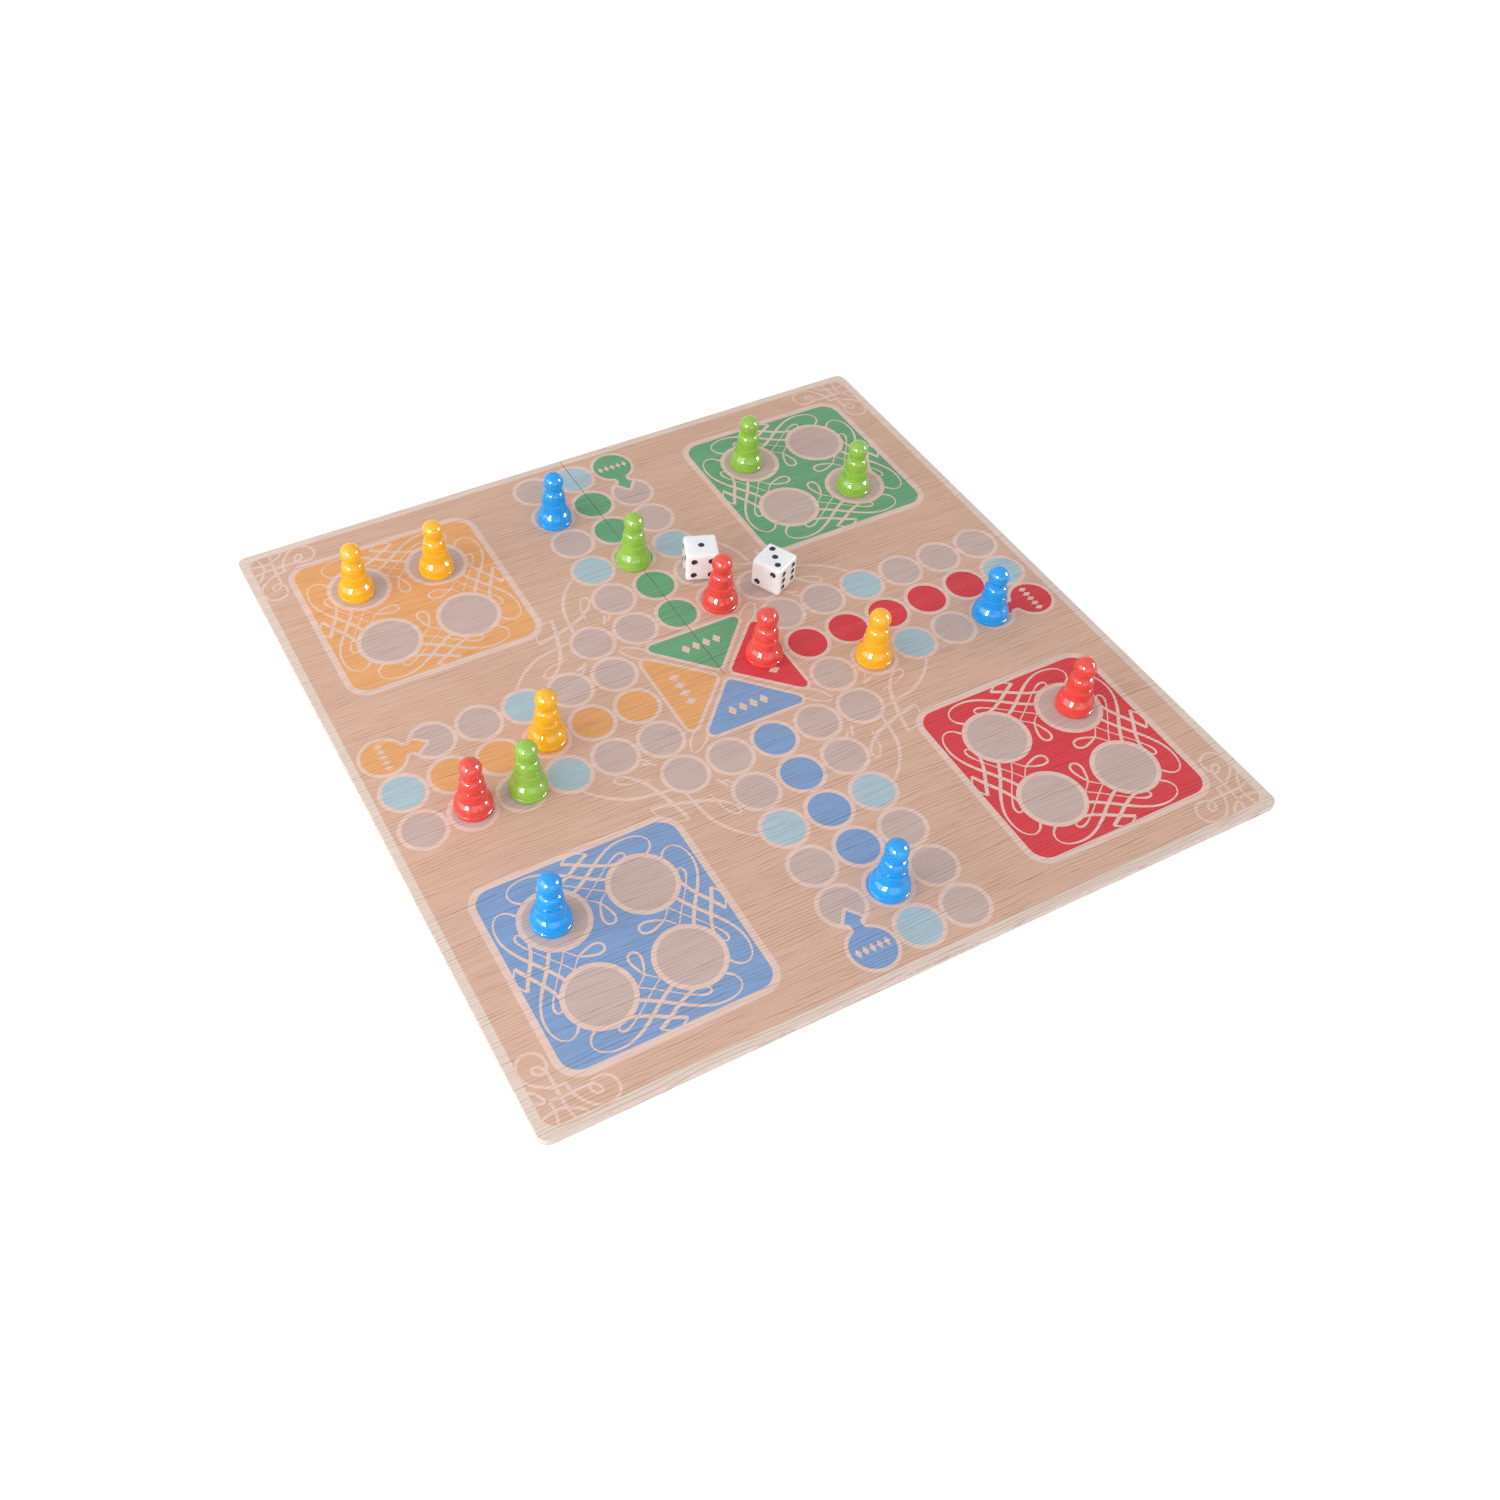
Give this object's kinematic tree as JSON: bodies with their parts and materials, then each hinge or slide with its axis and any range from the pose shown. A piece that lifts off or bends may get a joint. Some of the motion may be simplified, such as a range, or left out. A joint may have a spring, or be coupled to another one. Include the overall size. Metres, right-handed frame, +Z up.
{
  "type": "ludo board",
  "caption": "Square folding game board of wrapped panels on cloth hinge tapes, slit along one crease so it folds down small, set out with tiered pawns and dice for ludo.",
  "frame": {"origin": "middle of the board's underside, where the four panels meet", "axes": "+Z up out of the printed face, +X towards the red side of the board, +Y towards the green side"},
  "size_m": [0.32, 0.32, 0.0302],
  "materials": {
    "print_sheet": "satin printed paper with a wood-grain ground",
    "greyboard": "raw grey pulp board",
    "liner": "matt off-white lining paper",
    "hinge_cloth": "woven book cloth",
    "yellow_plastic": "polished moulding",
    "green_plastic": "polished moulding",
    "red_plastic": "polished moulding",
    "blue_plastic": "polished moulding",
    "white_plastic": "satin moulding with black paint in the pips"
  },
  "bodies": {
    "red_quarter": {"face_sheet_red": "print_sheet", "panel_core_red": "greyboard", "back_liner_red": "liner", "hinge_tape_red": "hinge_cloth", "hinge_tape_blue": "hinge_cloth"},
    "green_quarter": {"face_sheet_green": "print_sheet", "panel_core_green": "greyboard", "back_liner_green": "liner"},
    "blue_quarter": {"face_sheet_blue": "print_sheet", "panel_core_blue": "greyboard", "back_liner_blue": "liner", "hinge_tape_yellow": "hinge_cloth"},
    "yellow_quarter": {"face_sheet_yellow": "print_sheet", "panel_core_yellow": "greyboard", "back_liner_yellow": "liner"},
    "yellow_pawn_1": {"pawn_yellow_1": "yellow_plastic"},
    "yellow_pawn_2": {"pawn_yellow_2": "yellow_plastic"},
    "yellow_pawn_3": {"pawn_yellow_3": "yellow_plastic"},
    "yellow_pawn_4": {"pawn_yellow_4": "yellow_plastic"},
    "green_pawn_1": {"pawn_green_1": "green_plastic"},
    "green_pawn_2": {"pawn_green_2": "green_plastic"},
    "green_pawn_3": {"pawn_green_3": "green_plastic"},
    "green_pawn_4": {"pawn_green_4": "green_plastic"},
    "red_pawn_1": {"pawn_red_1": "red_plastic"},
    "red_pawn_2": {"pawn_red_2": "red_plastic"},
    "red_pawn_3": {"pawn_red_3": "red_plastic"},
    "red_pawn_4": {"pawn_red_4": "red_plastic"},
    "blue_pawn_1": {"pawn_blue_1": "blue_plastic"},
    "blue_pawn_2": {"pawn_blue_2": "blue_plastic"},
    "blue_pawn_3": {"pawn_blue_3": "blue_plastic"},
    "blue_pawn_4": {"pawn_blue_4": "blue_plastic"},
    "left_die": {"die_left": "white_plastic"},
    "right_die": {"die_right": "white_plastic"}
  },
  "joints": [
    {"name": "centre_fold", "type": "hinge", "parent": "red_quarter", "child": "blue_quarter", "pos_m": [0, -0.08, -0.00015], "axis": [0, 1, 0], "range_deg": [-180, 0], "deforming": ["hinge_tape_blue"]},
    {"name": "cross_fold_right", "type": "hinge", "parent": "red_quarter", "child": "green_quarter", "pos_m": [0.08, 0, -0.00015], "axis": [-1, 0, 0], "range_deg": [0, 180], "deforming": ["hinge_tape_red"]},
    {"name": "cross_fold_left", "type": "hinge", "parent": "blue_quarter", "child": "yellow_quarter", "pos_m": [-0.08, 0, -0.00015], "axis": [-1, 0, 0], "range_deg": [0, 180], "deforming": ["hinge_tape_yellow"]},
    {"name": "lift_yellow_pawn_1", "type": "slide", "parent": "yellow_quarter", "child": "yellow_pawn_1", "axis": [0, 0, 1], "range_m": [0, 0.06]},
    {"name": "lift_yellow_pawn_2", "type": "slide", "parent": "yellow_quarter", "child": "yellow_pawn_2", "axis": [0, 0, 1], "range_m": [0, 0.06]},
    {"name": "lift_yellow_pawn_3", "type": "slide", "parent": "blue_quarter", "child": "yellow_pawn_3", "axis": [0, 0, 1], "range_m": [0, 0.06]},
    {"name": "lift_yellow_pawn_4", "type": "slide", "parent": "red_quarter", "child": "yellow_pawn_4", "axis": [0, 0, 1], "range_m": [0, 0.06]},
    {"name": "lift_green_pawn_1", "type": "slide", "parent": "green_quarter", "child": "green_pawn_1", "axis": [0, 0, 1], "range_m": [0, 0.06]},
    {"name": "lift_green_pawn_2", "type": "slide", "parent": "green_quarter", "child": "green_pawn_2", "axis": [0, 0, 1], "range_m": [0, 0.06]},
    {"name": "lift_green_pawn_3", "type": "slide", "parent": "green_quarter", "child": "green_pawn_3", "axis": [0, 0, 1], "range_m": [0, 0.06]},
    {"name": "lift_green_pawn_4", "type": "slide", "parent": "blue_quarter", "child": "green_pawn_4", "axis": [0, 0, 1], "range_m": [0, 0.06]},
    {"name": "lift_red_pawn_1", "type": "slide", "parent": "green_quarter", "child": "red_pawn_1", "axis": [0, 0, 1], "range_m": [0, 0.06]},
    {"name": "lift_red_pawn_2", "type": "slide", "parent": "red_quarter", "child": "red_pawn_2", "axis": [0, 0, 1], "range_m": [0, 0.06]},
    {"name": "lift_red_pawn_3", "type": "slide", "parent": "red_quarter", "child": "red_pawn_3", "axis": [0, 0, 1], "range_m": [0, 0.06]},
    {"name": "lift_red_pawn_4", "type": "slide", "parent": "blue_quarter", "child": "red_pawn_4", "axis": [0, 0, 1], "range_m": [0, 0.06]},
    {"name": "lift_blue_pawn_1", "type": "slide", "parent": "yellow_quarter", "child": "blue_pawn_1", "axis": [0, 0, 1], "range_m": [0, 0.06]},
    {"name": "lift_blue_pawn_2", "type": "slide", "parent": "red_quarter", "child": "blue_pawn_2", "axis": [0, 0, 1], "range_m": [0, 0.06]},
    {"name": "lift_blue_pawn_3", "type": "slide", "parent": "red_quarter", "child": "blue_pawn_3", "axis": [0, 0, 1], "range_m": [0, 0.06]},
    {"name": "lift_blue_pawn_4", "type": "slide", "parent": "blue_quarter", "child": "blue_pawn_4", "axis": [0, 0, 1], "range_m": [0, 0.06]},
    {"name": "lift_left_die", "type": "slide", "parent": "green_quarter", "child": "left_die", "axis": [0, 0, 1], "range_m": [0, 0.06]},
    {"name": "lift_right_die", "type": "slide", "parent": "green_quarter", "child": "right_die", "axis": [0, 0, 1], "range_m": [0, 0.06]}
  ],
  "couplings": [
    {"joint": "cross_fold_left", "follows": "cross_fold_right", "ratio": 1}
  ]
}
